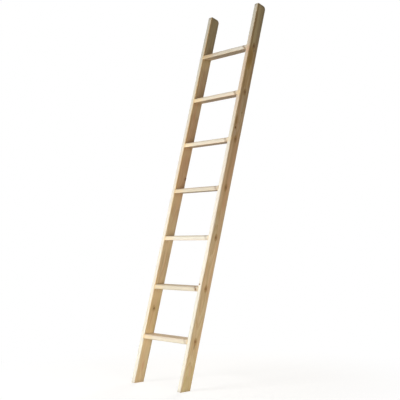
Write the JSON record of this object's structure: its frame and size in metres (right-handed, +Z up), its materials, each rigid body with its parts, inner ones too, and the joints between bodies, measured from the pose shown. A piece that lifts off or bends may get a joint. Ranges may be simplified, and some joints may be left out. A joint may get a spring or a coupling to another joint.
{
  "type": "wooden ladder",
  "caption": "Straight wooden ladder, leaning as in use: planed stiles with level-cut feet and flat level treads housed flush between them, held by round dowels.",
  "frame": {"origin": "on the floor, midway across the ladder and midway between its foremost point, the feet, and its rearmost, the tops", "axes": "+X across the ladder to the climber's right, +Y from the climber towards what the ladder leans on, +Z up; the stiles lean 16 degrees from upright towards +Y and the treads are level"},
  "size_m": [0.457, 0.7242, 2.3075],
  "materials": {
    "stile_pine": "planed pine, clear satin finish",
    "tread_pine": "planed pine, clear satin finish",
    "dowel_wood": "hardwood peg, dark end grain"
  },
  "bodies": {
    "root": {"stile_left": "stile_pine", "stile_right": "stile_pine", "tread_1": "tread_pine", "tread_2": "tread_pine", "tread_3": "tread_pine", "tread_4": "tread_pine", "tread_5": "tread_pine", "tread_6": "tread_pine", "tread_7": "tread_pine", "dowel_left_1": "dowel_wood", "dowel_left_2": "dowel_wood", "dowel_left_3": "dowel_wood", "dowel_left_4": "dowel_wood", "dowel_left_5": "dowel_wood", "dowel_left_6": "dowel_wood", "dowel_left_7": "dowel_wood", "dowel_right_1": "dowel_wood", "dowel_right_2": "dowel_wood", "dowel_right_3": "dowel_wood", "dowel_right_4": "dowel_wood", "dowel_right_5": "dowel_wood", "dowel_right_6": "dowel_wood", "dowel_right_7": "dowel_wood"}
  },
  "joints": []
}
